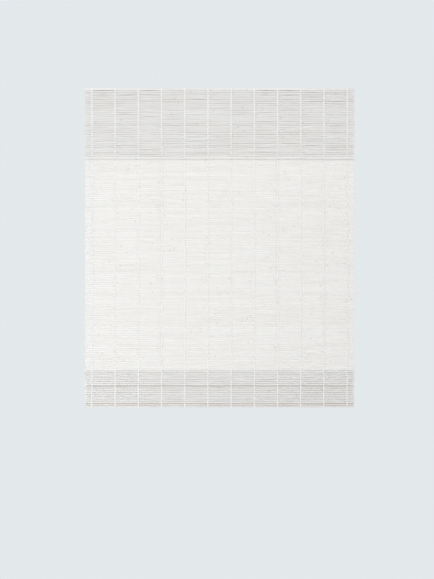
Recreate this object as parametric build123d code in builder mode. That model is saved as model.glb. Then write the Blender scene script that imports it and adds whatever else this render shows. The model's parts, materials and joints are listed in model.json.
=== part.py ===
from build123d import *
from math import atan2, cos, degrees, floor, hypot, radians, sin, tan
import os

os.makedirs("parts", exist_ok=True)

# Millimetres. The origin is the middle of the headrail's top face, which goes against the top of a recess.
# X runs across the blind, Y from the room to the window and Z up.

# Whole blind
blind_width = 600.0
blind_drop = 710.0
valance_drop = 157.2
top_setback = 1.0
clearance = 0.3

# Weave of flat slats on warp threads
slat_pitch = 4.9
slat_height = 4.2
slat_thickness = 1.6
web_thickness = 0.5
gap_margin = 10.0
gap_top_drop = 42.0
thread_pitch = 51.6
thread_margin = 15.0
thread_width = 1.0
thread_thickness = 0.3

# Headrail and its fixing holes
headrail_inset = 2.0
headrail_depth = 38.0
headrail_height = 20.0
headrail_chamfer = 0.8
fixing_inset = 98.0
fixing_y = 7.0
fixing_hole_radius = 2.5

# Hem, turned up round the batten
batten_inset = 4.0
batten_height = 42.0
batten_thickness = 4.0
batten_chamfer = 0.5
hem_slant_height = 10.0
hem_height = 85.0

# Valance, which hangs just in front of the mat
valance_gap = 1.0

# Rings and the ties that hold them to a slat
ring_diameter = 14.0
ring_wire_diameter = 1.8
ring_tilt = 45.0
ring_sides = 12
ring_wire_sides = 6
ring_offset = -3.0
ring_thread_inset = 3
upper_tie_drops = (95.0, 260.0, 422.0)
lowest_tie_height = 140.0
tie_width = 0.4
tie_thickness = 0.35
tie_slack = 0.1

# Lift cords and the knots at their ends
cord_diameter = 1.6
cord_sides = 8
knot_drop = 22.0
knot_height = 9.0
knot_radius = 2.3
knot_waist_radius = 1.5
knot_sides = 8
tail_length = 16.0
tail_diameter = 1.2
tail_sides = 6
tail_spread = 20.0

# Pulleys in folded sheet brackets
groove_radius = 5.0
groove_half_width = 1.15
rim_radius = 7.0
rim_chamfer = 0.7
wheel_width = 4.4
wheel_gap = 0.6
wheel_side_clearance = 0.4
wheel_sides = 16
axle_radius = 1.2
axle_sides = 8
axle_head_radius = 1.9
axle_head_height = 0.6
running_clearance = 0.05
sheet = 1.0
bracket_length = 24.0
cheek_radius = 3.6
cheek_root_length = 18.0
rim_to_bracket = 0.8
flange_width = 8.0
flange_chamfer = 2.0

# Screws that hold the brackets and the cord lock
screw_spacing = 15.0
screw_radius = 1.4
screw_length = 12.0
screw_head_radius = 2.6
screw_head_height = 1.8
screw_sides = 8
pilot_clearance = 0.1

# Staples of the mat and of the valance
staple_count = 4
staple_crown = 10.0
staple_wire = 0.6
staple_bite = 8.0
staple_clearance = 0.1
mat_staple_row = 1
valance_staple_row = 2

# Cord lock
lock_inset = 16.0
lock_roller_radius = 4.0
lock_roller_sides = 12
lock_side_room = 2.2
lock_front_length = 9.0
lock_back_length = 26.0
lock_height = 22.0
lock_chamfer = 4.0
pawl_offset_x = 13.0
pawl_offset_z = -5.2
pawl_boss_radius = 3.2
pawl_corner_radius = 0.9
pawl_corner_sides = 6
pawl_half_angle = 16.0
pawl_tooth_count = 4
pawl_tooth_size = 1.0

# Faces of the mat, the hem and the valance
mat_back_y = -headrail_depth / 2
mat_front_y = mat_back_y - slat_thickness
mat_top_z = -top_setback
slat_gap = slat_pitch - slat_height
valance_back_y = mat_front_y - valance_gap
valance_front_y = valance_back_y - slat_thickness
pocket_floor_z = -blind_drop + slat_thickness
batten_bottom_z = pocket_floor_z + clearance
tail_inner_y = mat_back_y + batten_thickness + 2 * clearance
tail_close_y = mat_back_y + clearance
slant_low_z = batten_bottom_z + batten_height + clearance
slant_high_z = slant_low_z + hem_slant_height
tail_top_z = -blind_drop + hem_height
slant_run = tail_inner_y - tail_close_y
slant_angle = degrees(atan2(slant_run, hem_slant_height))

# Lengths that follow from the width
headrail_length = blind_width - 2 * headrail_inset
batten_length = blind_width - 2 * batten_inset
fixing_spacing = headrail_length - 2 * fixing_inset
lock_high_x = headrail_length / 2 - lock_inset
lock_low_x = lock_high_x - lock_back_length - lock_front_length
lock_roller_x = lock_high_x - lock_back_length

# Lines of the threads, the rings and the cords
thread_count = floor((blind_width - 2 * thread_margin) / thread_pitch) + 1
thread_xs = [(i - (thread_count - 1) / 2) * thread_pitch for i in range(thread_count)]
ring_threads = (ring_thread_inset, thread_count - 1 - ring_thread_inset)
ring_xs = [thread_xs[i] + ring_offset for i in ring_threads]
tie_drops = (*upper_tie_drops, blind_drop - lowest_tie_height)
ring_radius = (ring_diameter - ring_wire_diameter) / 2
ring_reach = ring_radius * cos(radians(ring_tilt))
ring_rise = ring_radius * sin(radians(ring_tilt))
cord_radius = cord_diameter / 2
cord_y = mat_back_y + clearance + ring_wire_diameter / 2 + ring_reach

# Lines of the pulleys and of the cord lock
axle_bore = axle_radius + running_clearance
pilot_radius = screw_radius + pilot_clearance
wrap_radius = groove_radius + clearance + cord_radius
wheel_z = -headrail_height - sheet - rim_to_bracket - rim_radius
cord_run_z = wheel_z + wrap_radius
wheel_xs = [x + wrap_radius for x in ring_xs]
passing_wheel_y = cord_y + wheel_width + wheel_gap
passing_slope = (passing_wheel_y - cord_y) / (wheel_xs[1] - wheel_xs[0])
passing_lock_y = cord_y + passing_slope * (lock_roller_x - wheel_xs[0])
lock_roller_z = cord_run_z - cord_radius - clearance - lock_roller_radius
lock_middle_x = lock_roller_x + (lock_back_length - lock_front_length) / 2
pawl_x = lock_roller_x + pawl_offset_x
pawl_z = lock_roller_z + pawl_offset_z


def row_z(row):
    """Height of the middle of a slat, counted from 0 at the top."""
    return mat_top_z - slat_height / 2 - row * slat_pitch


def row_near(drop):
    """Number of the slat that lies nearest to a drop below the origin."""
    return round((drop - top_setback - slat_height / 2) / slat_pitch)


def rows_within(drop):
    """How many whole slats fit above a drop below the origin."""
    return floor((drop - top_setback + slat_gap) / slat_pitch)


def hem_path(depth):
    """Line down the mat, under the batten and up the hem, at a depth outside the wall's inner face."""
    mitre = depth * tan(radians(slant_angle / 2))
    return [
        (mat_back_y - depth, mat_top_z),
        (mat_back_y - depth, pocket_floor_z - depth),
        (tail_inner_y + depth, pocket_floor_z - depth),
        (tail_inner_y + depth, slant_low_z + mitre),
        (tail_close_y + depth, slant_high_z + mitre),
        (tail_close_y + depth, tail_top_z),
    ]


def ridged_line(back_y, rows):
    """Line down the front of a flat wall: out over each slat and back to the web at its edges."""
    line = []
    for row in range(rows):
        high_z = row_z(row) + slat_height / 2
        low_z = row_z(row) - slat_height / 2
        line.append((back_y - web_thickness, high_z))
        line.append((back_y - slat_thickness, high_z))
        line.append((back_y - slat_thickness, low_z))
        line.append((back_y - web_thickness, low_z))
    return line


def slat_sections(start, heading, length):
    """Slat sections along one straight stretch of the wall, standing outward from its inner face."""
    count = floor((length + slat_gap) / slat_pitch)
    spare = length + slat_gap - count * slat_pitch
    with Locations(Location((start[0], start[1], 0), (0, 0, heading))):
        with Locations((0, (slat_height + spare) / 2)):
            with GridLocations(slat_thickness, slat_pitch, 1, count, align=(Align.CENTER, Align.MIN)):
                Rectangle(slat_thickness, slat_height, align=(Align.MIN, Align.CENTER))


def open_gaps(first_row, last_row, back_y):
    """Open the gap under each of these slats, between the side margins, right through the wall."""
    middle_z = (row_z(first_row) + row_z(last_row) - slat_pitch) / 2
    with BuildSketch(Plane.XZ.offset(-back_y)) as gaps:
        with Locations((0, middle_z)):
            with GridLocations(slat_pitch, slat_pitch, 1, last_row - first_row + 1):
                Rectangle(blind_width - 2 * gap_margin, slat_gap)
    extrude(gaps.sketch, amount=slat_thickness, mode=Mode.SUBTRACT)


def staple_places(row):
    """Middles of one row of staples, each halfway between two threads."""
    step = (thread_count - 2) / (staple_count - 1)
    return [(thread_xs[round(i * step)] + thread_pitch / 2, row_z(row)) for i in range(staple_count)]


def cut_leg_holes(row, front_y, depth):
    """Cut the holes for the legs of one row of staples, from a front face backward."""
    leg_middle = (staple_crown - staple_wire) / 2
    hole_size = staple_wire + 2 * staple_clearance
    with BuildSketch(Plane.XZ.offset(-front_y)) as holes:
        with Locations(*staple_places(row)):
            with Locations((-leg_middle, 0), (leg_middle, 0)):
                Rectangle(hole_size, hole_size)
    extrude(holes.sketch, amount=-depth, mode=Mode.SUBTRACT)


def staple_row(row, front_y, depth):
    """One row of staples, whose crowns lie on a front face and whose legs reach to a depth behind it."""
    with BuildPart() as staples:
        with BuildSketch(Plane.XY.offset(row_z(row) - staple_wire / 2)):
            with Locations(*[(x, front_y - staple_wire) for x, z in staple_places(row)]):
                Rectangle(staple_crown, depth + staple_wire, align=(Align.CENTER, Align.MIN))
            with Locations(*[(x, front_y) for x, z in staple_places(row)]):
                inside = staple_crown - 2 * staple_wire
                Rectangle(inside, depth, align=(Align.CENTER, Align.MIN), mode=Mode.SUBTRACT)
        extrude(amount=staple_wire)
    return staples


def cheek_faces(first_y, last_y, room):
    """Outer faces of two cheeks with room outside the first and the last of the cords between them."""
    return first_y - room - sheet, last_y + room + sheet


def flange_screws(middle_x, cheeks):
    """Places of the two screws in the flange behind a pair of cheeks."""
    screw_y = cheeks[1] + flange_width / 2
    return [(middle_x - screw_spacing / 2, screw_y), (middle_x + screw_spacing / 2, screw_y)]


def headed_pin(x, z, cheeks):
    """Pin through two cheeks, with a riveted head outside each."""
    low_y, high_y = cheeks
    steps = (
        (low_y - axle_head_height, low_y, axle_head_radius),
        (low_y, high_y, axle_radius),
        (high_y, high_y + axle_head_height, axle_head_radius),
    )
    with BuildPart() as pin:
        for start_y, end_y, radius in steps:
            with BuildSketch(Plane.XZ.offset(-start_y)):
                with Locations((x, z)):
                    RegularPolygon(radius, axle_sides)
            extrude(amount=start_y - end_y)
    return pin


def grooved_wheel(x, middle_y):
    """Wheel with a groove round it, eased at its shoulders, and a round bore for its axle."""
    with BuildPart() as wheel:
        for side in (-1, 1):
            with BuildSketch(Plane.XZ.offset(-middle_y + side * wheel_width / 2)):
                with Locations((x, wheel_z)):
                    RegularPolygon(rim_radius, wheel_sides)
            extrude(amount=side * (groove_half_width - wheel_width / 2))
        inner_rims = wheel.faces().filter_by(Axis.Y).sort_by(Axis.Y)[1:3]
        chamfer(inner_rims.edges(), rim_chamfer)
        with BuildSketch(Plane.XZ.offset(-middle_y)):
            with Locations((x, wheel_z)):
                RegularPolygon(groove_radius, wheel_sides)
        extrude(amount=groove_half_width, both=True)
        with BuildSketch(Plane.XZ.offset(-middle_y)):
            with Locations((x, wheel_z)):
                Circle(axle_bore)
        extrude(amount=wheel_width / 2, both=True, mode=Mode.SUBTRACT)
    return wheel


def pulley_bracket(middle_x, cheeks):
    """Bracket of folded sheet: a flange under the headrail and two cheeks that carry the axle."""
    low_y, high_y = cheeks
    with BuildPart() as bracket:
        with BuildSketch(Plane.XY.offset(-headrail_height)) as flange:
            with Locations((middle_x, low_y)):
                Rectangle(bracket_length, high_y - low_y + flange_width, align=(Align.CENTER, Align.MIN))
            chamfer(flange.vertices().group_by(Axis.Y)[-1], flange_chamfer)
            with Locations(*flange_screws(middle_x, cheeks)):
                RegularPolygon(pilot_radius, screw_sides, mode=Mode.SUBTRACT)
        extrude(amount=-sheet)
        for cheek_y in (low_y, high_y - sheet):
            with BuildSketch(Plane.XZ.offset(-cheek_y)):
                with Locations((middle_x, wheel_z)):
                    RegularPolygon(cheek_radius, axle_sides)
                with Locations((middle_x, -headrail_height)):
                    Rectangle(cheek_root_length, sheet, align=(Align.CENTER, Align.MAX))
                make_hull()
                with Locations((middle_x, wheel_z)):
                    RegularPolygon(axle_bore, axle_sides, mode=Mode.SUBTRACT)
            extrude(amount=-sheet)
    return bracket


wheel_room = wheel_width / 2 + wheel_side_clearance
left_cheeks = cheek_faces(cord_y, cord_y, wheel_room)
right_cheeks = cheek_faces(cord_y, passing_wheel_y, wheel_room)
lock_cheeks = cheek_faces(cord_y, passing_lock_y, lock_side_room)
screw_places = (
    flange_screws(wheel_xs[0], left_cheeks)
    + flange_screws(wheel_xs[1], right_cheeks)
    + flange_screws(lock_middle_x, lock_cheeks)
)

# Headrail: a planed board with two holes for the fixing screws
with BuildPart() as headrail:
    with BuildSketch(Plane.YZ.offset(-headrail_length / 2)) as board_end:
        with Locations((0, -headrail_height / 2)):
            Rectangle(headrail_depth, headrail_height)
        chamfer(board_end.vertices(), headrail_chamfer)
    extrude(amount=headrail_length)
    with BuildSketch(Plane.XY.offset(-headrail_height)):
        with Locations((0, fixing_y)):
            with GridLocations(fixing_spacing, fixing_spacing, 2, 1):
                Circle(fixing_hole_radius)
    extrude(amount=headrail_height, mode=Mode.SUBTRACT)
    with BuildSketch(Plane.XY.offset(-headrail_height)):
        with Locations(*screw_places):
            RegularPolygon(pilot_radius, screw_sides)
    extrude(amount=screw_length, mode=Mode.SUBTRACT)
    cut_leg_holes(mat_staple_row, mat_back_y, staple_bite + staple_clearance)
    cut_leg_holes(valance_staple_row, mat_back_y, staple_bite + staple_clearance)
headrail.part.label = "headrail"
export_step(headrail.part, "parts/headrail.step")

# Mat: slats as ridges on a thin web, open between the slats, turned up at the hem
with BuildPart() as mat:
    with BuildSketch(Plane.YZ.offset(-blind_width / 2)):
        with BuildLine():
            web_path = hem_path(web_thickness)[1:]
            mat_front = ridged_line(mat_back_y, rows_within(blind_drop))
            Polyline(*hem_path(0), *reversed(web_path), *reversed(mat_front), close=True)
        make_face()
        slat_sections((mat_back_y, pocket_floor_z), -90, tail_inner_y - mat_back_y)
        slat_sections((tail_inner_y, pocket_floor_z), 0, slant_low_z - pocket_floor_z)
        slat_sections((tail_inner_y, slant_low_z), slant_angle, hypot(slant_run, hem_slant_height))
        slat_sections((tail_close_y, slant_high_z), 0, tail_top_z - slant_high_z)
    extrude(amount=blind_width)
    open_gaps(row_near(gap_top_drop), rows_within(blind_drop - hem_height) - 1, mat_back_y)
    cut_leg_holes(mat_staple_row, mat_front_y, slat_thickness)
    cut_leg_holes(valance_staple_row, mat_front_y, slat_thickness)
mat.part.label = "mat"
export_step(mat.part, "parts/mat.step")

# Valance: the same weave, stapled over the mat's top
valance_rows = rows_within(valance_drop)
valance_height = valance_rows * slat_pitch - slat_gap
with BuildPart() as valance:
    with BuildSketch(Plane.YZ.offset(-blind_width / 2)):
        with BuildLine():
            valance_front = ridged_line(valance_back_y, valance_rows)
            valance_back = [(valance_back_y, valance_front[-1][1]), (valance_back_y, mat_top_z)]
            Polyline(*valance_front, *valance_back, close=True)
        make_face()
    extrude(amount=blind_width)
    open_gaps(row_near(gap_top_drop), valance_rows - 2, valance_back_y)
    cut_leg_holes(valance_staple_row, valance_front_y, slat_thickness)
valance.part.label = "valance"
export_step(valance.part, "parts/valance.step")

# Warp threads, laid on the slats' outer faces
for number, x in enumerate(thread_xs, start=1):
    with BuildPart() as mat_thread:
        with BuildSketch(Plane.YZ.offset(x - thread_width / 2)):
            with BuildLine():
                outer_path = hem_path(slat_thickness + thread_thickness)
                Polyline(*hem_path(slat_thickness), *reversed(outer_path), close=True)
            make_face()
        extrude(amount=thread_width)
    mat_thread.part.label = f"mat_thread_{number:02d}"
    export_step(mat_thread.part, f"parts/mat_thread_{number:02d}.step")

    with BuildPart() as valance_thread:
        with BuildSketch(Plane.XZ.offset(-valance_front_y)):
            with Locations((x, mat_top_z)):
                Rectangle(thread_width, valance_height, align=(Align.CENTER, Align.MAX))
        extrude(amount=thread_thickness)
    valance_thread.part.label = f"valance_thread_{number:02d}"
    export_step(valance_thread.part, f"parts/valance_thread_{number:02d}.step")

# Staples, driven through the weave into the headrail
mat_staples = staple_row(mat_staple_row, mat_front_y, slat_thickness + staple_bite)
mat_staples.part.label = "mat_staples"
export_step(mat_staples.part, "parts/mat_staples.step")

valance_staples = staple_row(valance_staple_row, valance_front_y, mat_back_y - valance_front_y + staple_bite)
valance_staples.part.label = "valance_staples"
export_step(valance_staples.part, "parts/valance_staples.step")

# Hem batten, loose in its pocket
with BuildPart() as hem_batten:
    with BuildSketch(Plane.YZ.offset(-batten_length / 2)) as batten_end:
        with Locations((mat_back_y + clearance, batten_bottom_z)):
            Rectangle(batten_thickness, batten_height, align=(Align.MIN, Align.MIN))
        chamfer(batten_end.vertices(), batten_chamfer)
    extrude(amount=batten_length)
hem_batten.part.label = "hem_batten"
export_step(hem_batten.part, "parts/hem_batten.step")

# Rings, each tilted so that its upper edge meets the mat, and the ties round ring and slat
wire_radius = ring_wire_diameter / 2
wire_flat = wire_radius * cos(radians(360 / ring_wire_sides))
wire_rise = wire_radius * sin(radians(360 / ring_wire_sides))
wire_inset = (wire_radius - wire_flat) * cos(radians(180 / ring_sides))
wire_taper = degrees(atan2(wire_inset, wire_rise))
tie_back_y = cord_y - ring_reach + wire_radius + tie_slack
tie_inner_height = slat_height + slat_gap - tie_thickness
for number, drop in enumerate(tie_drops, start=1):
    tie_z = row_z(row_near(drop))
    tie_front_y = valance_front_y if drop < valance_drop else mat_front_y
    for side, x in zip(("left", "right"), ring_xs):
        ring_axis = (0, sin(radians(ring_tilt)), cos(radians(ring_tilt)))
        ring_plane = Plane((x, cord_y, tie_z - ring_rise), x_dir=(1, 0, 0), z_dir=ring_axis)
        with BuildPart() as ring:
            with BuildSketch(ring_plane):
                RegularPolygon(ring_radius + wire_radius, ring_sides)
            extrude(amount=wire_rise, both=True, taper=wire_taper)
            for rise in (-wire_rise, wire_rise):
                with BuildSketch(ring_plane.offset(rise)):
                    RegularPolygon(ring_radius - wire_flat, ring_sides)
                extrude(amount=-rise, taper=wire_taper, mode=Mode.SUBTRACT)
        ring.part.label = f"{side}_ring_{number}"
        export_step(ring.part, f"parts/{side}_ring_{number}.step")

    with BuildPart() as ring_ties:
        for x in ring_xs:
            with BuildSketch(Plane.YZ.offset(x - tie_width / 2)):
                with Locations(((tie_front_y + tie_back_y) / 2, tie_z)):
                    tie_depth = tie_back_y - tie_front_y
                    Rectangle(tie_depth + 2 * tie_thickness, tie_inner_height + 2 * tie_thickness)
                    Rectangle(tie_depth, tie_inner_height, mode=Mode.SUBTRACT)
            extrude(amount=tie_width)
    ring_ties.part.label = f"ring_ties_{number}"
    export_step(ring_ties.part, f"parts/ring_ties_{number}.step")

# Lift cords: up through the rings, over a pulley and along under the headrail to the lock
knot_top_z = row_z(row_near(tie_drops[-1])) - ring_rise - knot_drop
for side, x, lock_y in zip(("left", "right"), ring_xs, (passing_lock_y, cord_y)):
    with BuildPart() as lift_cord:
        with BuildLine():
            corner = (x, cord_y, cord_run_z)
            lock_end = (lock_roller_x, lock_y, cord_run_z)
            FilletPolyline((x, cord_y, knot_top_z), corner, lock_end, radius=wrap_radius)
        with BuildSketch(Plane((x, cord_y, knot_top_z))):
            RegularPolygon(cord_radius, cord_sides)
        sweep()
    lift_cord.part.label = f"{side}_lift_cord"
    export_step(lift_cord.part, f"parts/{side}_lift_cord.step")

    with BuildPart() as end_knot:
        for step, radius in enumerate((knot_radius, knot_waist_radius, knot_radius)):
            with BuildSketch(Plane((x, cord_y, knot_top_z - step * knot_height / 3))):
                RegularPolygon(radius, knot_sides)
            extrude(amount=-knot_height / 3)
        for spread in (-tail_spread, tail_spread):
            knot_middle = Location((x, cord_y, knot_top_z - knot_height / 2), (0, spread, 0))
            with BuildSketch(Plane(knot_middle)):
                RegularPolygon(tail_diameter / 2, tail_sides)
            extrude(amount=-tail_length)
    end_knot.part.label = f"{side}_end_knot"
    export_step(end_knot.part, f"parts/{side}_end_knot.step")

# Pulleys: a single one for the left cord, and a double one where the left cord passes the right
left_bracket = pulley_bracket(wheel_xs[0], left_cheeks)
left_bracket.part.label = "left_pulley_bracket"
export_step(left_bracket.part, "parts/left_pulley_bracket.step")

right_bracket = pulley_bracket(wheel_xs[1], right_cheeks)
right_bracket.part.label = "right_pulley_bracket"
export_step(right_bracket.part, "parts/right_pulley_bracket.step")

left_axle = headed_pin(wheel_xs[0], wheel_z, left_cheeks)
left_axle.part.label = "left_pulley_axle"
export_step(left_axle.part, "parts/left_pulley_axle.step")

right_axle = headed_pin(wheel_xs[1], wheel_z, right_cheeks)
right_axle.part.label = "right_pulley_axle"
export_step(right_axle.part, "parts/right_pulley_axle.step")

left_wheel = grooved_wheel(wheel_xs[0], cord_y)
left_wheel.part.label = "left_pulley_wheel"
export_step(left_wheel.part, "parts/left_pulley_wheel.step")

right_wheel = grooved_wheel(wheel_xs[1], cord_y)
right_wheel.part.label = "right_pulley_wheel"
export_step(right_wheel.part, "parts/right_pulley_wheel.step")

passing_wheel = grooved_wheel(wheel_xs[1], passing_wheel_y)
passing_wheel.part.label = "passing_cord_wheel"
export_step(passing_wheel.part, "parts/passing_cord_wheel.step")

# Screws under the flanges of the brackets and of the lock
with BuildPart() as headrail_screws:
    with BuildSketch(Plane.XY.offset(-headrail_height - sheet)):
        with Locations(*screw_places):
            RegularPolygon(screw_head_radius, screw_sides)
    extrude(amount=-screw_head_height)
    with BuildSketch(Plane.XY.offset(-headrail_height - sheet)):
        with Locations(*screw_places):
            RegularPolygon(screw_radius, screw_sides)
    extrude(amount=screw_length)
headrail_screws.part.label = "headrail_screws"
export_step(headrail_screws.part, "parts/headrail_screws.step")

# Cord lock housing: a folded channel, open below and where the cords come in
lock_low_y, lock_high_y = lock_cheeks
with BuildPart() as lock_housing:
    with BuildSketch(Plane.XZ.offset(-lock_low_y)) as lock_side:
        with Locations((lock_low_x, -headrail_height)):
            Rectangle(lock_high_x - lock_low_x, lock_height, align=(Align.MIN, Align.MAX))
        chamfer(lock_side.vertices().group_by(Axis.Z)[0], lock_chamfer)
    extrude(amount=lock_low_y - lock_high_y)
    with BuildSketch(Plane.YZ.offset(lock_low_x)):
        with Locations((lock_low_y + sheet, -headrail_height - sheet)):
            Rectangle(lock_high_y - lock_low_y - 2 * sheet, lock_height, align=(Align.MIN, Align.MAX))
    extrude(amount=lock_high_x - lock_low_x - sheet, mode=Mode.SUBTRACT)
    with BuildSketch(Plane.XY.offset(-headrail_height)) as lock_flange:
        with Locations((lock_low_x, lock_high_y)):
            Rectangle(lock_high_x - lock_low_x, flange_width, align=(Align.MIN, Align.MIN))
        chamfer(lock_flange.vertices().group_by(Axis.Y)[-1], flange_chamfer)
        with Locations(*flange_screws(lock_middle_x, lock_cheeks)):
            RegularPolygon(pilot_radius, screw_sides, mode=Mode.SUBTRACT)
    extrude(amount=-sheet)
    with BuildSketch(Plane.XZ.offset(-lock_low_y)):
        with Locations((lock_roller_x, lock_roller_z), (pawl_x, pawl_z)):
            RegularPolygon(axle_bore, axle_sides)
    extrude(amount=lock_low_y - lock_high_y, mode=Mode.SUBTRACT)
lock_housing.part.label = "lock_housing"
export_step(lock_housing.part, "parts/lock_housing.step")

# Lock roller and pawl, each on its own pin across the housing
inner_low_y = lock_low_y + sheet + wheel_side_clearance
inner_high_y = lock_high_y - sheet - wheel_side_clearance
with BuildPart() as lock_roller:
    with BuildSketch(Plane.XZ.offset(-inner_low_y)):
        with Locations((lock_roller_x, lock_roller_z)):
            RegularPolygon(lock_roller_radius, lock_roller_sides)
            Circle(axle_bore, mode=Mode.SUBTRACT)
    extrude(amount=inner_low_y - inner_high_y)
lock_roller.part.label = "lock_roller"
export_step(lock_roller.part, "parts/lock_roller.step")

roller_pin = headed_pin(lock_roller_x, lock_roller_z, lock_cheeks)
roller_pin.part.label = "lock_roller_pin"
export_step(roller_pin.part, "parts/lock_roller_pin.step")

pawl_heading = degrees(atan2(-pawl_offset_z, -pawl_offset_x))
pawl_reach = hypot(pawl_offset_x, pawl_offset_z) - lock_roller_radius - cord_diameter - clearance
first_tooth = pawl_heading - pawl_half_angle
tooth_sweep = 2 * pawl_half_angle
with BuildPart() as lock_pawl:
    with BuildSketch(Plane.XZ.offset(-inner_low_y)):
        with Locations((pawl_x, pawl_z)):
            RegularPolygon(pawl_boss_radius, axle_sides)
            with PolarLocations(pawl_reach - pawl_corner_radius, 2, first_tooth, tooth_sweep, endpoint=True):
                RegularPolygon(pawl_corner_radius, pawl_corner_sides)
        make_hull()
        with Locations((pawl_x, pawl_z)):
            Circle(axle_bore, mode=Mode.SUBTRACT)
            with PolarLocations(pawl_reach, pawl_tooth_count, first_tooth, tooth_sweep, endpoint=True):
                Rectangle(pawl_tooth_size, pawl_tooth_size, rotation=45, mode=Mode.SUBTRACT)
    extrude(amount=inner_low_y - inner_high_y)
lock_pawl.part.label = "lock_pawl"
export_step(lock_pawl.part, "parts/lock_pawl.step")

pawl_pin = headed_pin(pawl_x, pawl_z, lock_cheeks)
pawl_pin.part.label = "lock_pawl_pin"
export_step(pawl_pin.part, "parts/lock_pawl_pin.step")
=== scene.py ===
import json
import math

import bpy
import numpy as np
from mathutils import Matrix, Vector

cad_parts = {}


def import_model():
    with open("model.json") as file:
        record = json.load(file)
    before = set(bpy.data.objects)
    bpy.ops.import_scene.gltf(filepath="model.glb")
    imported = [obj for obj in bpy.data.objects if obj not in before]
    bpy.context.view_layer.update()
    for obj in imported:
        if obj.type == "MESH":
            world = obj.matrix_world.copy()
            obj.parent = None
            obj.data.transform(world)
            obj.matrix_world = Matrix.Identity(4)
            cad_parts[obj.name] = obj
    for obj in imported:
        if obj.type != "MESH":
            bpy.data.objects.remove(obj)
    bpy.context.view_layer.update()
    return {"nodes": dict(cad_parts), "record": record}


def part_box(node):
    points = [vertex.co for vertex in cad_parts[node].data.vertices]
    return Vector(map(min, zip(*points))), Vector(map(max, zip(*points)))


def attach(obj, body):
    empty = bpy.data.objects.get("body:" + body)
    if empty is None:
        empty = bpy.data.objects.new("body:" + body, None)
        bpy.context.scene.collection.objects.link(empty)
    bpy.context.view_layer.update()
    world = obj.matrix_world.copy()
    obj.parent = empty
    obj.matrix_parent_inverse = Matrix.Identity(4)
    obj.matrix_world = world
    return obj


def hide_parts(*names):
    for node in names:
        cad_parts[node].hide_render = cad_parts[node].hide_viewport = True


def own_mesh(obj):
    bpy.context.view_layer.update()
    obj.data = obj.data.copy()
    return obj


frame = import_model()
rng = np.random.default_rng(41)

# Sizes in metres, as on the part
SLAT_PITCH = 0.0049
SLAT_HEIGHT = 0.0042
SLAT_GAP = SLAT_PITCH - SLAT_HEIGHT
SLAT_THICKNESS = 0.0016
SLAT_DEPTH = 0.0012
THREAD_COUNT = 12
THREAD_PITCH = 0.0516
HEM_HEIGHT = 0.085
HEM_SLANT_HEIGHT = 0.010
HEM_SLANT_PITCH = 0.0053
HEM_SLANT_SLAT = 0.0047
POCKET_CLEARANCE = 0.0003
FOOT_PITCH = 0.0038
CORD_RADIUS = 0.0008
RING_RADIUS = 0.0061
RING_WIRE_RADIUS = 0.0009
RING_TILT = math.radians(45)
WRAP_RADIUS = 0.0061

# Small looseness of the weave in metres, finer than the solids show
SLAT_EASE = 0.0003
SLAT_DOME = 0.00008
LOOSE = 0.00016
LONGEST_WAVE = 0.45
WAVE_GAIN = 1.2
BOW = 0.00016
OPENING_MEAN = 0.00002
OPENING_SPREAD = 0.00024
LEAN = 0.00007
RAGGED_END = 0.0009
RAGGED_END_MOST = 0.002
GAP_SHARE = 0.6
HALF_GAP_LEAST = 0.00006
HALF_GAP_MOST = 0.0007
TIE_PUSH = 0.0010
TIE_REACH = 0.0050
MAT_LOOSE = 0.0001
MAT_OPENING_SPREAD = 0.00013
VALANCE_LOOSE = 0.0002
VALANCE_OPENING_SPREAD = 0.00026
VALANCE_FLARE = 0.0008
BOTTOM_SET_BACK = 0.0001
BOTTOM_OVERLAP = 0.0008

# Places read from the frame
headrail_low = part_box("headrail")[0]
mat_low, mat_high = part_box("mat")
valance_low, valance_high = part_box("valance")
batten_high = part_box("hem_batten")[1]
HALF_WIDTH = mat_high.x
MAT_BACK_Y = headrail_low.y
MAT_TOP_Z = mat_high.z
MAT_BOTTOM_Z = mat_low.z
VALANCE_BACK_Y = valance_high.y
POCKET_FLOOR_Z = MAT_BOTTOM_Z + SLAT_THICKNESS
TAIL_INNER_Y = mat_high.y - SLAT_THICKNESS
TAIL_CLOSE_Y = MAT_BACK_Y + POCKET_CLEARANCE
SLANT_LOW_Z = batten_high.z + POCKET_CLEARANCE
SLANT_HIGH_Z = SLANT_LOW_Z + HEM_SLANT_HEIGHT
TAIL_TOP_Z = MAT_BOTTOM_Z + HEM_HEIGHT

RING_COUNT = 4
SIDES = ("left", "right")


def middle(node):
    """Middle of a part's box."""
    low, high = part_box(node)
    return (low + high) / 2


RING_MIDDLES = {(side, n): middle(f"{side}_ring_{n}") for side in SIDES for n in range(1, RING_COUNT + 1)}
THREAD_XS = [(i - (THREAD_COUNT - 1) / 2) * THREAD_PITCH for i in range(THREAD_COUNT)]

# The weave closes up from the top rings to the lowest ones as the hem is lifted
FIXED_Z = RING_MIDDLES["left", 1].z
HEM_Z = RING_MIDDLES["left", RING_COUNT].z


def camera():
    """Straight in front, a little below the middle, as far away as the photograph's flat view suggests."""
    distance = 3.0
    view_height = 1.2867
    aim_x, aim_z = -0.0056, -0.4478
    data = bpy.data.cameras.new("camera")
    data.sensor_width = 36.0
    data.lens = data.sensor_width * distance / view_height
    eye = bpy.data.objects.new("camera", data)
    eye.location = (aim_x, valance_low.y - distance, aim_z)
    eye.rotation_euler = (math.radians(90), 0, 0)
    bpy.context.scene.collection.objects.link(eye)
    bpy.context.scene.camera = eye


SHARP_ABOVE = math.radians(40)


def mesh_object(name, points, faces):
    """An object in the scene from points and faces, smooth but for its sharp edges."""
    mesh = bpy.data.meshes.new(name)
    mesh.from_pydata([tuple(p) for p in points], [], faces)
    mesh.update()
    mesh.shade_smooth()
    mesh.set_sharp_from_angle(angle=SHARP_ABOVE)
    piece = bpy.data.objects.new(name, mesh)
    bpy.context.scene.collection.objects.link(piece)
    return piece


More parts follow.
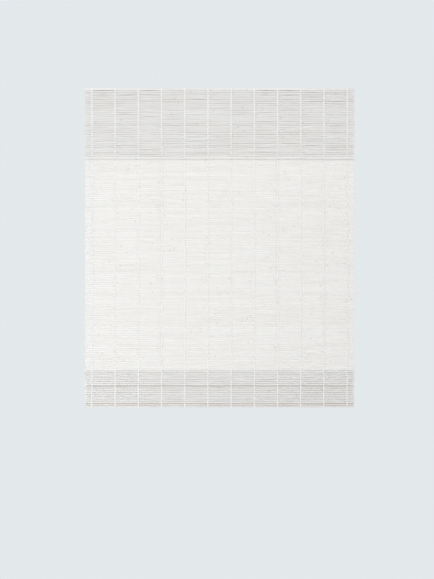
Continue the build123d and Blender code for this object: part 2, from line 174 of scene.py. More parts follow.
class Shape:
    """Points, faces and per-point values gathered for one object."""

    def __init__(self):
        self.points, self.faces, self.tones, self.count = [], [], [], 0

    def add_tube(self, rings, tone=0.5, closed=False):
        """Skin a list of equally long rings of points, with flat ends, or joined end to end where closed."""
        rings = np.asarray(rings, float)
        steps, sides = rings.shape[:2]
        first = self.count
        self.points.append(rings.reshape(-1, 3))
        for i in range(steps if closed else steps - 1):
            low, high = first + i * sides, first + (i + 1) % steps * sides
            for j in range(sides):
                k = (j + 1) % sides
                self.faces.append((low + j, low + k, high + k, high + j))
        if not closed:
            self.faces.append(tuple(range(first + sides - 1, first - 1, -1)))
            last = first + (steps - 1) * sides
            self.faces.append(tuple(range(last, last + sides)))
        self.tones += [tone] * (steps * sides)
        self.count += steps * sides

    def build(self, name):
        """Make the object, with the tones as a point attribute."""
        piece = mesh_object(name, np.concatenate(self.points), self.faces)
        attribute = piece.data.attributes.new("tone", "FLOAT", "POINT")
        attribute.data.foreach_set("value", np.array(self.tones, np.float32))
        return piece


def tube_rings(path, width, thickness, across=(1, 0, 0), sides=8, closed=False):
    """Rings of an oval tube along a path; its width lies along the given direction."""
    path = np.asarray(path, float)
    if closed:
        along = np.roll(path, -1, 0) - np.roll(path, 1, 0)
    else:
        along = np.gradient(path, axis=0)
    along /= np.linalg.norm(along, axis=1, keepdims=True)
    across = np.asarray(across, float)
    side = across - (along @ across)[:, None] * along
    side /= np.linalg.norm(side, axis=1, keepdims=True)
    up = np.cross(along, side)
    turns = np.linspace(0, 2 * math.pi, sides, endpoint=False)
    return (
        path[:, None]
        + np.cos(turns)[None, :, None] * side[:, None] * (width / 2)
        + np.sin(turns)[None, :, None] * up[:, None] * (thickness / 2)
    )


# Weave: straight stretches of slats, each slat lying between two wavy gap lines

QUARTERS = [x + k * THREAD_PITCH / 4 for x in THREAD_XS[:-1] for k in range(4)]
HALF_MARGIN = (HALF_WIDTH - THREAD_XS[-1]) / 2
MARGINS = (-HALF_WIDTH, -HALF_WIDTH + HALF_MARGIN, THREAD_XS[-1], HALF_WIDTH - HALF_MARGIN, HALF_WIDTH)
RING_XS = [RING_MIDDLES[side, 1].x for side in SIDES]
KNOT_XS = [RING_XS[0] - 0.0095, RING_XS[1] + 0.0118]
BESIDE_TIE = (-0.0075, -0.004, -0.0015, 0.0015, 0.0055)


def sections(tie_xs):
    """Places across the blind where a slat is shaped, denser beside its ties."""
    beside = [x + step for x in tie_xs for step in BESIDE_TIE]
    return np.array(sorted((*QUARTERS, *MARGINS, *beside)))


def wavy(amplitude, longest, waves=4):
    """A smooth random line along the blind, as a function of x."""
    lengths = rng.uniform(longest / 4, longest, waves)
    phases = rng.uniform(0, 2 * math.pi, waves)
    sizes = rng.normal(0, amplitude / math.sqrt(waves) * WAVE_GAIN, waves)
    return lambda x: sum(s * np.sin(2 * math.pi * x / w + p) for s, w, p in zip(sizes, lengths, phases))


def bowed(mean, spread):
    """A random line that is held at the threads and bows out between them."""
    bows = rng.normal(mean, spread, THREAD_COUNT + 1)

    def line(x):
        place = (x - THREAD_XS[0]) / THREAD_PITCH + 1
        span = np.clip(np.floor(place), 0, THREAD_COUNT).astype(int)
        return bows[span] * np.sin(math.pi * (place - np.floor(place))) ** 2

    return line


class Stretch:
    """Slats along one straight stretch of the wall, from a start point along a heading in the YZ plane."""

    def __init__(
        self, start, heading, count,
        pitch=SLAT_PITCH, height=SLAT_HEIGHT, loose=LOOSE, opening=OPENING_SPREAD,
    ):
        self.start = np.array(start)
        self.heading = np.array(heading) / np.hypot(*heading)
        self.outward = np.array((self.heading[1], -self.heading[0]))
        self.count, self.pitch, self.height = count, pitch, height
        self.lines = [wavy(loose, LONGEST_WAVE) for _ in range(count + 1)]
        self.bows = [bowed(0, BOW) for _ in range(count + 1)]
        self.openings = [bowed(OPENING_MEAN, opening) for _ in range(count + 1)]
        self.widened = {}
        self.ripples = {}
        self.tied, self.tie_xs = set(), RING_XS
        self.flare = 0.0
        self.tones = rng.uniform(0, 1, count)
        self.lean = rng.normal(0, LEAN, count)

    def gap_line(self, number, x):
        """Middle of the gap before a slat, as a distance along the stretch."""
        centre = number * self.pitch - (self.pitch - self.height) / 2
        ripple = self.ripples.get(number)
        return centre + self.lines[number](x) + self.bows[number](x) + (ripple(x) if ripple else 0)

    def half_gap(self, number, x):
        """Half the height of the gap before a slat."""
        half = GAP_SHARE * (self.pitch - self.height) / 2 + self.openings[number](x)
        half = np.clip(half, HALF_GAP_LEAST, HALF_GAP_MOST) + self.widened.get(number, 0)
        if number in self.tied:
            half += sum(TIE_PUSH * np.exp(-(((x - tie_x) / TIE_REACH) ** 2)) for tie_x in self.tie_xs)
        return half

    def point(self, x, along, out):
        """A point of the wall, at a distance along the stretch and out from its inner face."""
        y = self.start[0] + self.heading[0] * along + self.outward[0] * out
        z = self.start[1] + self.heading[1] * along + self.outward[1] * out
        return np.stack([np.broadcast_to(x, np.shape(y)), y, z], -1)

    def lean_of(self, number):
        """How far a slat stands out from the wall."""
        return self.lean[number] + self.flare * (number / self.count) ** 3

    def z_of(self, number):
        """Height of the middle of a slat."""
        return self.start[1] + self.heading[1] * (number * self.pitch + self.height / 2)

    def add_slat(self, shape, number):
        """Add one slat to a shape: a thin strip with eased edges and ragged ends."""
        left, right = rng.normal(0, RAGGED_END, 2)
        xs = sections(self.tie_xs)
        xs[0] += min(abs(left), RAGGED_END_MOST)
        xs[-1] -= min(abs(right), RAGGED_END_MOST)
        low = self.gap_line(number, xs) + self.half_gap(number, xs)
        high = self.gap_line(number + 1, xs) - self.half_gap(number + 1, xs)
        ease, thick, back = SLAT_EASE, SLAT_THICKNESS, SLAT_THICKNESS - SLAT_DEPTH
        outline = [
            (low, back + ease), (low, thick - ease), (low + ease, thick),
            ((low + high) / 2, thick + SLAT_DOME),
            (high - ease, thick), (high, thick - ease), (high, back + ease),
            (high - ease, back), (low + ease, back),
        ]
        rings = np.stack([self.point(xs, along, out + self.lean_of(number)) for along, out in outline], 1)
        shape.add_tube(rings, self.tones[number])


mat_rows = int((MAT_TOP_Z - MAT_BOTTOM_Z + SLAT_GAP) / SLAT_PITCH)
front = Stretch((MAT_BACK_Y, MAT_TOP_Z), (0, -1), mat_rows, loose=MAT_LOOSE, opening=MAT_OPENING_SPREAD)
pocket_depth = TAIL_INNER_Y - MAT_BACK_Y
bottom_start = (MAT_BACK_Y + BOTTOM_SET_BACK, POCKET_FLOOR_Z)
bottom = Stretch(bottom_start, (1, 0), 1, SLAT_PITCH, pocket_depth + BOTTOM_OVERLAP)
foot_top_z = MAT_TOP_Z - mat_rows * SLAT_PITCH
foot_height = foot_top_z - MAT_BOTTOM_Z - BOTTOM_SET_BACK
foot = Stretch((MAT_BACK_Y, foot_top_z), (0, -1), 1, FOOT_PITCH, foot_height)
tail_rows = int((SLANT_LOW_Z - POCKET_FLOOR_Z + SLAT_GAP) / SLAT_PITCH)
tail = Stretch((TAIL_INNER_Y, POCKET_FLOOR_Z), (0, 1), tail_rows)
slant_run = TAIL_INNER_Y - TAIL_CLOSE_Y
slant_heading = (-slant_run, HEM_SLANT_HEIGHT)
slant = Stretch((TAIL_INNER_Y, SLANT_LOW_Z), slant_heading, 2, HEM_SLANT_PITCH, HEM_SLANT_SLAT)
upper_rows = int((TAIL_TOP_Z - SLANT_HIGH_Z + SLAT_GAP) / SLAT_PITCH)
upper_tail = Stretch((TAIL_CLOSE_Y, SLANT_HIGH_Z), (0, 1), upper_rows)
valance_rows = int(round((valance_high.z - valance_low.z + SLAT_GAP) / SLAT_PITCH))
apron = Stretch(
    (VALANCE_BACK_Y, valance_high.z), (0, -1), valance_rows,
    loose=VALANCE_LOOSE, opening=VALANCE_OPENING_SPREAD,
)
apron.tie_xs = KNOT_XS
apron.flare = VALANCE_FLARE

# The mat's slats differ less in tone than the valance's, whose first and last ones are made brightest as a
# painted highlight along its top and bottom edges
MAT_TONE_LEAST, MAT_TONE_RANGE = 0.35, 0.4
front.tones = MAT_TONE_LEAST + MAT_TONE_RANGE * front.tones
# painted highlight: the valance's top and bottom slats are brightened as if their edges catch the light
apron.tones[[0, -1]] = 1.0

# The ties push the slats apart where they pass through
for number in range(1, RING_COUNT + 1):
    low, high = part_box(f"ring_ties_{number}")
    row = round((MAT_TOP_Z - (low.z + high.z) / 2 - SLAT_HEIGHT / 2) / SLAT_PITCH)
    front.tied |= {row, row + 1}
    if low.y < VALANCE_BACK_Y:
        apron.tied |= {row, row + 1}

# Two seams open wider across the hem, each under a slat that stands out; the slat below each seam gets the
# darkest tone as painted shade under the overhang
SEAM_ROWS = (135, 143)
SEAM_OPENING = 0.0007
SEAM_OVERHANG = 0.0009
for row in SEAM_ROWS:
    front.widened[row] = SEAM_OPENING
    front.lean[row - 1] += SEAM_OVERHANG
    # painted shade: the slat below the seam is darkened as if shaded by the slat above it
    front.tones[row] = 0

# Slats above the upper seam ripple: gap, middle and reach, where a gap named twice keeps its last ripple
RIPPLES = ((129, -0.225, 0.06), (130, -0.20, 0.07), (131, -0.23, 0.05), (129, 0.22, 0.06), (131, 0.20, 0.06))
RIPPLE_SIZE = 0.0016
RIPPLE_LENGTH = 0.055


def ripple(centre, reach, size, length):
    """A local wave along a gap line, fading out at both ends."""
    phase = rng.uniform(0, 2 * math.pi)
    return lambda x: size * np.exp(-(((x - centre) / reach) ** 2)) * np.sin(2 * math.pi * x / length + phase)


for row, centre, reach in RIPPLES:
    front.ripples[row] = ripple(centre, reach, RIPPLE_SIZE, RIPPLE_LENGTH)


# Materials

class Surface:
    """A principled material with helpers for its procedural inputs."""

    def __init__(self, name, roughness, **values):
        self.material = bpy.data.materials.new(name)
        self.material.use_nodes = True
        self.nodes = self.material.node_tree.nodes
        self.shader = self.nodes["Principled BSDF"]
        self.shader.inputs["Roughness"].default_value = roughness
        for key, value in values.items():
            self.shader.inputs[key.replace("_", " ")].default_value = value
        self.place = self.nodes.new("ShaderNodeTexCoord").outputs["Object"]

    def link(self, output, socket):
        self.material.node_tree.links.new(output, socket)

    def noise(self, scale, stretch=(1, 1, 1), detail=4.0, roughness=0.55):
        """Noise in the part's own space, finer along each axis by its stretch."""
        mapping = self.nodes.new("ShaderNodeMapping")
        mapping.inputs["Scale"].default_value = stretch
        self.link(self.place, mapping.inputs["Vector"])
        noise = self.nodes.new("ShaderNodeTexNoise")
        noise.inputs["Scale"].default_value = scale
        noise.inputs["Detail"].default_value = detail
        noise.inputs["Roughness"].default_value = roughness
        self.link(mapping.outputs["Vector"], noise.inputs["Vector"])
        return noise.outputs["Fac"]

    def attribute(self, name):
        node = self.nodes.new("ShaderNodeAttribute")
        node.attribute_name = name
        return node.outputs["Fac"]

    def axis(self, name):
        """One coordinate of the point, in the part's own space."""
        split = self.nodes.new("ShaderNodeSeparateXYZ")
        self.link(self.place, split.inputs["Vector"])
        return split.outputs[name]

    def math(self, operation, *values):
        node = self.nodes.new("ShaderNodeMath")
        node.operation = operation
        for socket, value in zip(node.inputs, values):
            if isinstance(value, (int, float)):
                socket.default_value = value
            else:
                self.link(value, socket)
        return node.outputs["Value"]

    def ramp(self, value, stops):
        """Colours along a value, from (place, colour) stops."""
        node = self.nodes.new("ShaderNodeValToRGB")
        while len(node.color_ramp.elements) < len(stops):
            node.color_ramp.elements.new(0.5)
        for element, (place, colour) in zip(node.color_ramp.elements, stops):
            element.position = place
            element.color = (*colour, 1)
        self.link(value, node.inputs["Fac"])
        return node.outputs["Color"]

    def mix(self, share, low, high, blend="MIX"):
        """Mix two colours by a share."""
        node = self.nodes.new("ShaderNodeMix")
        node.data_type = "RGBA"
        node.blend_type = blend
        for key, value in (("Factor", share), ("A", low), ("B", high)):
            socket = node.inputs[key]
            if isinstance(value, (int, float)):
                socket.default_value = value
            elif isinstance(value, tuple):
                socket.default_value = (*value, 1)
            else:
                self.link(value, socket)
        return node.outputs["Result"]

    def colour(self, output):
        self.link(output, self.shader.inputs["Base Color"])

    def roughness(self, value, low, high):
        """Roughness that varies with a value."""
        node = self.nodes.new("ShaderNodeMapRange")
        node.inputs["To Min"].default_value = low
        node.inputs["To Max"].default_value = high
        self.link(value, node.inputs["Value"])
        self.link(node.outputs["Result"], self.shader.inputs["Roughness"])

    def bump(self, height, distance, strength):
        node = self.nodes.new("ShaderNodeBump")
        node.inputs["Strength"].default_value = strength
        node.inputs["Distance"].default_value = distance
        self.link(height, node.inputs["Height"])
        self.link(node.outputs["Normal"], self.shader.inputs["Normal"])


def bamboo():
    """Whitewashed bamboo: long fibres, darker nodes across a slat now and then, and slats of unlike tone."""
    surface = Surface(
        "bamboo", 0.6, Subsurface_Weight=1.0, Subsurface_Radius=(1.0, 0.97, 0.92), Subsurface_Scale=0.003
    )
    fibres = surface.noise(1.0, (14, 900, 900), 5, 0.6)
    clouds = surface.noise(1.0, (9, 160, 160), 3)
    slat_tone = surface.attribute("tone")
    wash = surface.ramp(
        fibres, [(0.30, (0.69, 0.68, 0.66)), (0.50, (0.785, 0.78, 0.77)), (0.72, (0.83, 0.83, 0.825))]
    )
    tone = surface.ramp(
        slat_tone, [(0.0, (0.91, 0.905, 0.895)), (0.5, (0.97, 0.97, 0.965)), (1.0, (1, 1, 1))]
    )
    base = surface.mix(1.0, wash, tone, "MULTIPLY")
    base = surface.mix(clouds, base, surface.mix(0.25, base, (0.72, 0.70, 0.65)))
    node_spacing, half_node, ragged_edge, shift_per_tone = 0.23, 0.0016, 0.001, 7.3
    shift = surface.math("MULTIPLY", slat_tone, shift_per_tone)
    wrapped = surface.math("PINGPONG", surface.math("ADD", surface.axis("X"), shift), node_spacing)
    ragged = surface.math("ADD", wrapped, surface.math("MULTIPLY", clouds, ragged_edge))
    mark = surface.math("LESS_THAN", ragged, half_node)
    base = surface.mix(surface.math("MULTIPLY", mark, 0.45), base, (0.50, 0.46, 0.39))
    surface.colour(base)
    surface.roughness(fibres, 0.5, 0.72)
    surface.bump(surface.math("ADD", fibres, surface.math("MULTIPLY", mark, 0.6)), 0.00012, 0.7)
    return surface.material


def yarn(name, base, twist):
    """White twisted yarn, with fine strands and a little fuzz."""
    surface = Surface(name, 0.85, Sheen_Weight=0.15)
    strands = surface.nodes.new("ShaderNodeTexWave")
    strands.wave_type = "BANDS"
    strands.bands_direction = "DIAGONAL"
    strands.inputs["Scale"].default_value = twist
    strands.inputs["Distortion"].default_value = 1.5
    surface.link(surface.place, strands.inputs["Vector"])
    fuzz = surface.noise(2600, detail=3)
    twisted = surface.math("MULTIPLY", strands.outputs["Fac"], 0.6)
    shade = surface.math("ADD", twisted, surface.math("MULTIPLY", fuzz, 0.4))
    surface.colour(surface.ramp(shade, [(0.1, tuple(0.84 * c for c in base)), (0.7, base)]))
    surface.bump(shade, 0.00015, 0.8)
    return surface.material


def painted_wood(name, pale, dark, grain):
    """Wood with long grain along X."""
    surface = Surface(name, 0.55)
    rings = surface.noise(1.0, (6, 120, 60), 6, 0.62)
    pores = surface.noise(1.0, (60, 1400, 1400), 3)
    ringed = surface.math("MULTIPLY", rings, 0.7)
    both = surface.math("ADD", ringed, surface.math("MULTIPLY", pores, 0.3))
    surface.colour(surface.ramp(both, [(0.35, dark), (0.62, pale)]))
    surface.roughness(rings, 0.45, 0.68)
    surface.bump(pores, 0.00006, grain)
    return surface.material


def moulded(name, colour, roughness):
    """Moulded plastic with a very fine, even grain."""
    surface = Surface(
        name, roughness, Subsurface_Weight=0.2, Subsurface_Radius=(1.0, 0.95, 0.9), Subsurface_Scale=0.001
    )
    grain = surface.noise(900, detail=2)
    surface.colour(surface.ramp(grain, [(0.2, tuple(0.95 * c for c in colour)), (0.8, colour)]))
    surface.roughness(grain, roughness - 0.06, roughness + 0.08)
    surface.bump(grain, 0.00002, 0.4)
    return surface.material


def metal(name, colour, roughness, brushed=(1, 1, 1)):
    """Plated or bright metal, brushed along the axes that the stretch leaves coarse."""
    surface = Surface(name, roughness, Metallic=1.0)
    streaks = surface.noise(260, brushed, 5, 0.6)
    spangle = surface.noise(70, detail=2)
    streaked = surface.math("MULTIPLY", streaks, 0.5)
    both = surface.math("ADD", streaked, surface.math("MULTIPLY", spangle, 0.5))
    surface.colour(surface.ramp(both, [(0.3, tuple(0.82 * c for c in colour)), (0.7, colour)]))
    surface.roughness(both, roughness - 0.08, roughness + 0.14)
    surface.bump(streaks, 0.00001, 0.35)
    return surface.material


MATERIALS = {
    "bamboo_weave": bamboo(),
    "warp_thread": yarn("thread", (0.92, 0.92, 0.91), 900),
    "lift_cord": yarn("cord", (0.80, 0.80, 0.79), 700),
    "headrail_wood": painted_wood("headrail_wood", (0.74, 0.73, 0.70), (0.66, 0.645, 0.61), 0.3),
    "batten_wood": painted_wood("batten_wood", (0.70, 0.66, 0.60), (0.58, 0.53, 0.46), 0.6),
    "ring_plastic": moulded("ring_plastic", (0.80, 0.80, 0.79), 0.35),
    "wheel_nylon": moulded("wheel_nylon", (0.78, 0.78, 0.75), 0.42),
    "fastener_steel": metal("fastener_steel", (0.66, 0.66, 0.64), 0.34),
    "pin_steel": metal("pin_steel", (0.60, 0.60, 0.60), 0.28, (1, 8, 1)),
    "bracket_steel": metal("bracket_steel", (0.68, 0.68, 0.67), 0.38, (1, 1, 6)),
    "roller_brass": metal("roller_brass", (0.76, 0.60, 0.32), 0.3, (6, 1, 6)),
    "pawl_plastic": moulded("pawl_plastic", (0.72, 0.72, 0.70), 0.4),
}


def finish_piece(piece, body, slot, *nodes):
    """Give a new piece its body and material, and hide the nodes that it stands for."""
    piece.data.materials.append(MATERIALS[slot])
    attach(piece, body)
    if nodes:
        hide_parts(*nodes)
    return piece


ROOT = "headrail_and_weave"


def closes_up(piece):
    """Give the piece its own copy of its mesh."""
    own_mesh(piece)


def region(z):
    """Part of the mat that a height belongs to: above the top rings, down to the lowest ones, or below."""
    if z > FIXED_Z:
        return "top"
    return "drop" if z > HEM_Z else "hem"


def place_by_region(shapes, names, slot, *nodes):
    """Build the shapes of the mat's three regions: fixed top, closing drop and rising hem."""
    for part, name in names.items():
        piece = finish_piece(shapes[part].build(name), "hem" if part == "hem" else ROOT, slot, *nodes)
        if part == "drop":
            closes_up(piece)


# Mat and valance

mat_shapes = {"top": Shape(), "drop": Shape(), "hem": Shape()}
for row in range(front.count):
    front.add_slat(mat_shapes[region(front.z_of(row))], row)
for stretch in (foot, bottom, tail, slant, upper_tail):
    for row in range(stretch.count):
        stretch.add_slat(mat_shapes["hem"], row)
place_by_region(mat_shapes, {"top": "mat_top", "drop": "mat_drop", "hem": "mat_hem"}, "bamboo_weave", "mat")

valance_shape = Shape()
for row in range(apron.count):
    apron.add_slat(valance_shape, row)
finish_piece(valance_shape.build("valance_slats"), ROOT, "bamboo_weave", "valance")


# Warp threads: two strands that change sides in every gap

STRAND_WIDTH = 0.0027
STRAND_THICKNESS = 0.0008
STRAND_SHIFT = 0.0005
STRAND_BEDDING = STRAND_THICKNESS * 0.4
HIDDEN_STRAND_OUT = 0.0002


def strand_path(stretch, x, start_side, rows, inner_out):
    """Line of one strand over the slats of a stretch, in front of one and behind the next."""
    path = []
    for row in rows:
        head, base = stretch.gap_line(row, x), stretch.gap_line(row + 1, x)
        outside = (row + start_side) % 2 == 0
        out = SLAT_THICKNESS + STRAND_BEDDING if outside else inner_out
        shift = STRAND_SHIFT if start_side else -STRAND_SHIFT
        path.append((x, head, SLAT_THICKNESS / 2))
        for share in (0.25, 0.75):
            path.append((x + shift, head + share * (base - head), out + stretch.lean_of(row)))
    path.append((x, stretch.gap_line(rows[-1] + 1, x), SLAT_THICKNESS / 2))
    return np.array([stretch.point(px, along, out) for px, along, out in path])


def add_strands(shape, stretch, x, rows, inner_out=-STRAND_BEDDING):
    """Both strands of one warp thread along some rows of a stretch."""
    for side in (0, 1):
        path = strand_path(stretch, x, side, rows, inner_out)
        shape.add_tube(tube_rings(path, STRAND_WIDTH, STRAND_THICKNESS, sides=6))


rows_of = {part: [r for r in range(front.count) if region(front.z_of(r)) == part] for part in mat_shapes}
for number, x in enumerate(THREAD_XS, start=1):
    shapes = {"top": Shape(), "drop": Shape(), "hem": Shape()}
    add_strands(shapes["top"], front, x, rows_of["top"], HIDDEN_STRAND_OUT)
    add_strands(shapes["drop"], front, x, rows_of["drop"])
    add_strands(shapes["hem"], front, x, rows_of["hem"])
    for stretch in (foot, bottom, tail, slant, upper_tail):
        add_strands(shapes["hem"], stretch, x, range(stretch.count), HIDDEN_STRAND_OUT)
    names = {part: f"mat_thread_{number:02d}_{part}" for part in shapes}
    place_by_region(shapes, names, "warp_thread", f"mat_thread_{number:02d}")
    valance_thread = Shape()
    add_strands(valance_thread, apron, x, range(apron.count))
    name = f"valance_thread_{number:02d}_strands"
    finish_piece(valance_thread.build(name), ROOT, "warp_thread", f"valance_thread_{number:02d}")


# Rings and their ties

def ring(side, number, body):
    """A round moulded ring, tilted as its cord pulls it."""
    shape = Shape()
    centre = RING_MIDDLES[side, number]
    steps, sides = 48, 14
    turns = np.linspace(0, 2 * math.pi, steps, endpoint=False)
    back = Vector((0, math.cos(RING_TILT), -math.sin(RING_TILT)))
    across = Vector((1, 0, 0))
    path = [centre + RING_RADIUS * (math.cos(t) * across + math.sin(t) * back) for t in turns]
    axis = (0, math.sin(RING_TILT), math.cos(RING_TILT))
    wire = 2 * RING_WIRE_RADIUS
    shape.add_tube(tube_rings(path, wire, wire, axis, sides, True), closed=True)
    finish_piece(shape.build(f"{side}_ring_{number}_round"), body, "ring_plastic", f"{side}_ring_{number}")


TIE_TURNS = 3
TIE_THREAD = 0.0004
TIE_TURN_PITCH = 0.00045
TIE_TURN_WANDER = 0.0002
TIE_SQUARENESS = 0.72
TIE_KNOT_STEP = 0.0004
TIE_KNOT_HALF_WIDTH = 0.0026
TIE_KNOT_HALF_HEIGHT = 0.0013
TIE_KNOT_WANDER = 0.0003
TIE_KNOT_STRAND = (0.0014, 0.0018)
STITCH_STRAND = (0.0008, 0.0006)
STITCH_BEDDING = 0.0003
STITCH_WAVE = 0.0003
STITCH_WAVE_STEP = 0.004
LOOSE_END = 0.024


def add_tie_turns(shape, x, low, high):
    """Turns of thread round a slat and a ring, as high and deep as the tie's box."""
    turns = np.linspace(0, 2 * math.pi, 28, endpoint=False)
    out, up = np.cos(turns), np.sin(turns)
    half_height, half_depth = (high.z - low.z) / 2, (high.y - low.y) / 2
    ys = (low.y + high.y) / 2 + half_depth * np.sign(out) * np.abs(out) ** TIE_SQUARENESS
    zs = (low.z + high.z) / 2 + half_height * np.sign(up) * np.abs(up) ** TIE_SQUARENESS
    for turn in range(TIE_TURNS):
        xs = x + (turn - 1) * TIE_TURN_PITCH + TIE_TURN_WANDER * np.sin(turns + turn)
        path = np.stack([xs, ys, zs], -1)
        shape.add_tube(tube_rings(path, TIE_THREAD, TIE_THREAD, sides=6, closed=True), closed=True)


def add_tie_knot(shape, x, y, z):
    """A small knot of two wandering turns in front of a tie."""
    turns = np.linspace(0, 4 * math.pi, 48)
    path = np.stack([
        x + TIE_KNOT_HALF_WIDTH * np.cos(turns),
        y + TIE_KNOT_WANDER * np.sin(turns * 1.5),
        z + TIE_KNOT_HALF_HEIGHT * np.sin(turns),
    ], -1)
    shape.add_tube(tube_rings(path, *TIE_KNOT_STRAND, (0, 1, 0), 6))


def add_stitch(shape, start_x, end_x, y, z):
    """A stitch along the valance that waves a little up and down."""
    xs = np.linspace(start_x, end_x, 14)
    zs = z + STITCH_WAVE * np.sin((xs - start_x) / STITCH_WAVE_STEP)
    path = np.stack([xs, np.full(len(xs), y + STITCH_BEDDING), zs], -1)
    shape.add_tube(tube_rings(path, *STITCH_STRAND, (0, 0, 1), 6))


def tie(number, body):
    """Thread ties round a slat and a ring, each with a small knot in front.

    The top row's knots lie beside the ring columns, each on a stitch along the valance, which runs on past
    the right knot as a loose end.
    """
    low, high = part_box(f"ring_ties_{number}")
    centre_z = (low.z + high.z) / 2
    shape = Shape()
    for side in SIDES:
        x = RING_MIDDLES[side, number].x
        knot_x = KNOT_XS[SIDES.index(side)] if number == 1 else x + TIE_KNOT_STEP
        add_tie_turns(shape, x, low, high)
        add_tie_knot(shape, knot_x, low.y, centre_z)
        if number == 1:
            stitch_end = knot_x if side == "left" else knot_x + LOOSE_END
            add_stitch(shape, x, stitch_end, low.y, centre_z)
    finish_piece(shape.build(f"ring_ties_{number}_thread"), body, "warp_thread", f"ring_ties_{number}")


RING_BODIES = {1: ROOT, 2: "ring_row_2", 3: "ring_row_3", 4: "hem"}
for number, body in RING_BODIES.items():
    for side in SIDES:
        ring(side, number, body)
    tie(number, body)


# Lift cords with their end knots

CORD_Y = RING_MIDDLES["left", 1].y
CORD_HIGHS = {side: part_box(f"{side}_lift_cord")[1] for side in SIDES}
KNOT_TOPS = {side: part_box(f"{side}_end_knot")[1].z for side in SIDES}
KNOT_HEIGHT = 0.008
KNOT_WRAP_RADIUS = 0.00145
KNOT_WRAP_PITCH = 0.0016
KNOT_WRAP_BEDDING = 0.0006
TAIL_LENGTH = 0.0142
TAIL_RADIUS = 0.0006
TAIL_SPREAD = math.radians(20)
TAIL_DROP = 0.0075
TAIL_OUT = 0.0006
TAIL_CURVE = 1.2

# A wrap's drop below the knot's top and its turns: two short ones with a waist, or a long one
KNOT_WRAPS = {"left": ((0.0005, 1.6), (0.0048, 1.6)), "right": ((0.0007, 4.2),)}


def cord_tube(shape, path, radius=CORD_RADIUS):
    shape.add_tube(tube_rings(path, 2 * radius, 2 * radius, (0, 1, 0), 10))


def cord_run(side, x):
    """The cord's fixed part: from the top ring up over its wheel, and along under the headrail."""
    high = CORD_HIGHS[side]
    run_z = high.z - CORD_RADIUS
    wheel = Vector((x + WRAP_RADIUS, CORD_Y, run_z - WRAP_RADIUS))
    end_y = CORD_Y if side == "right" else high.y - CORD_RADIUS
    end = Vector((high.x, end_y, run_z))
    over = [
        wheel + WRAP_RADIUS * Vector((-math.cos(t), 0, math.sin(t))) for t in np.linspace(0, math.pi / 2, 14)
    ]
    run = [over[-1].lerp(end, share) for share in np.linspace(0, 1, 12)[1:]]
    rise = [Vector((x, CORD_Y, FIXED_Z)).lerp(over[0], share) for share in (0, 0.5)]
    shape = Shape()
    cord_tube(shape, rise + over + run)
    finish_piece(shape.build(f"{side}_cord_run"), ROOT, "lift_cord", f"{side}_lift_cord")


def cord_drop(side, x):
    """The cord's part between the top and lowest rings, which closes up with the mat."""
    shape = Shape()
    cord_tube(shape, [Vector((x, CORD_Y, z)) for z in np.linspace(FIXED_Z, HEM_Z, 60)])
    closes_up(finish_piece(shape.build(f"{side}_cord_drop"), ROOT, "lift_cord", f"{side}_lift_cord"))


def add_knot(shape, side, x, top_z):
    """The wraps of a cord's end knot."""
    for drop, turns in KNOT_WRAPS[side]:
        angles = np.linspace(0, turns * 2 * math.pi, int(turns * 18))
        path = np.stack([
            x + KNOT_WRAP_RADIUS * np.cos(angles),
            CORD_Y + KNOT_WRAP_RADIUS * np.sin(angles),
            top_z - drop - KNOT_WRAP_BEDDING - KNOT_WRAP_PITCH * angles / (2 * math.pi),
        ], -1)
        shape.add_tube(tube_rings(path, 2 * CORD_RADIUS, 2 * CORD_RADIUS, (0, 0, 1), 8))


def add_tails(shape, x, top_z):
    """Two short tails that spread out below a knot."""
    start = Vector((x, CORD_Y, top_z - TAIL_DROP))
    steps = np.linspace(0, 1, 9)
    for lean in (-1, 1):
        spread = TAIL_SPREAD * lean
        aside, fall = math.sin(spread) * TAIL_LENGTH, math.cos(spread) * TAIL_LENGTH
        path = [start + Vector((aside * s ** TAIL_CURVE, TAIL_OUT * lean * s, -fall * s)) for s in steps]
        cord_tube(shape, path, TAIL_RADIUS)


def cord_end(side, x):
    """The cord's end below the lowest ring, with its knot and tails, which rises with the hem."""
    knot_top = KNOT_TOPS[side]
    shape = Shape()
    cord_tube(shape, [Vector((x, CORD_Y, z)) for z in np.linspace(HEM_Z, knot_top - KNOT_HEIGHT, 8)])
    add_knot(shape, side, x, knot_top)
    add_tails(shape, x, knot_top)
    finish_piece(shape.build(f"{side}_cord_end"), "hem", "lift_cord", f"{side}_end_knot")


for side, x in zip(SIDES, RING_XS):
    cord_run(side, x)
    cord_drop(side, x)
    cord_end(side, x)


# Finishes of the parts that stay as they are

for row in frame["record"]["subparts"]:
    part = frame["nodes"][row["node"]]
    for slot in part.material_slots:
        slot.material = MATERIALS[row["material_slot"]]


# Room: a round floor below the blind, an even pale background and soft lamps

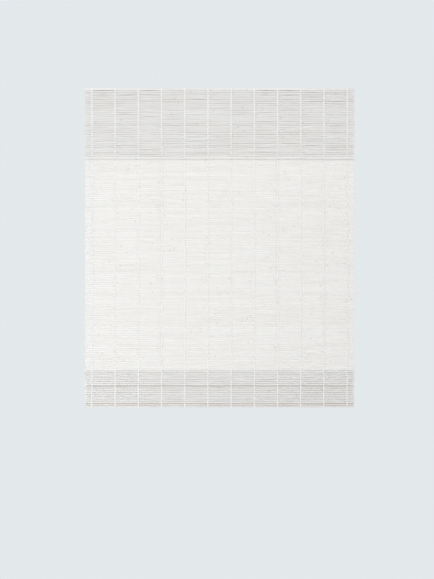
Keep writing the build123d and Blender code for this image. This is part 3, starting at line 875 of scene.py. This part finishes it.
def floor():
    """A pale round floor that catches the shadow and fades out at its edge."""
    floor_z, radius, sides, fade_width = -1.45, 1.6, 64, 0.5
    turns = np.linspace(0, 2 * math.pi, sides, endpoint=False)
    rim = [(radius * math.cos(t), radius * math.sin(t), floor_z) for t in turns]
    disc = mesh_object("floor", rim, [range(sides)])
    surface = Surface("floor", 0.9)
    surface.colour(surface.ramp(surface.noise(3), [(0.0, (0.76, 0.79, 0.81)), (1.0, (0.79, 0.81, 0.83))]))
    reach = surface.nodes.new("ShaderNodeVectorMath")
    reach.operation = "LENGTH"
    surface.link(surface.place, reach.inputs[0])
    inside = surface.math("SUBTRACT", math.hypot(radius, floor_z), reach.outputs["Value"])
    fade = surface.math("DIVIDE", inside, fade_width)
    surface.link(surface.math("MINIMUM", fade, 1.0), surface.shader.inputs["Alpha"])
    disc.data.materials.append(surface.material)


def lamp(name, place, aim, size, power):
    """A square softbox that points at a place."""
    data = bpy.data.lights.new(name, "AREA")
    data.size = size
    data.energy = power
    box = bpy.data.objects.new(name, data)
    box.location = place
    box.rotation_euler = (Vector(aim) - Vector(place)).to_track_quat("-Z", "Y").to_euler()
    box.visible_camera = False
    bpy.context.scene.collection.objects.link(box)


def world(strength, seen):
    """Even pale light from all round, and a plain colour where the camera looks past the blind."""
    room = bpy.data.worlds.new("room")
    room.use_nodes = True
    nodes, links = room.node_tree.nodes, room.node_tree.links
    light = nodes["Background"]
    light.inputs["Color"].default_value = (1, 0.98, 0.972, 1)
    light.inputs["Strength"].default_value = strength
    backdrop = nodes.new("ShaderNodeBackground")
    backdrop.inputs["Color"].default_value = (*seen, 1)
    rays = nodes.new("ShaderNodeLightPath")
    seen_rays = rays.outputs["Is Camera Ray"]
    for kind in ("Is Glossy Ray", "Is Transmission Ray"):
        either = nodes.new("ShaderNodeMath")
        either.operation = "MAXIMUM"
        links.new(seen_rays, either.inputs[0])
        links.new(rays.outputs[kind], either.inputs[1])
        seen_rays = either.outputs["Value"]
    mix = nodes.new("ShaderNodeMixShader")
    links.new(seen_rays, mix.inputs["Fac"])
    links.new(light.outputs["Background"], mix.inputs[1])
    links.new(backdrop.outputs["Background"], mix.inputs[2])
    links.new(mix.outputs["Shader"], nodes["World Output"].inputs["Surface"])
    bpy.context.scene.world = room


floor()
world(strength=0.52, seen=(0.775, 0.81, 0.835))
lamp("front", place=(-0.9, -2.1, -0.9), aim=(0, 0, -0.42), size=1.1, power=28)
lamp("top", place=(0.3, -1.2, 1.2), aim=(0, 0, -0.3), size=0.4, power=10)
lamp("behind", place=(0.1, 1.3, 0.3), aim=(0, 0, -0.46), size=0.12, power=1.8)
camera()
bpy.context.scene.view_settings.view_transform = "Standard"
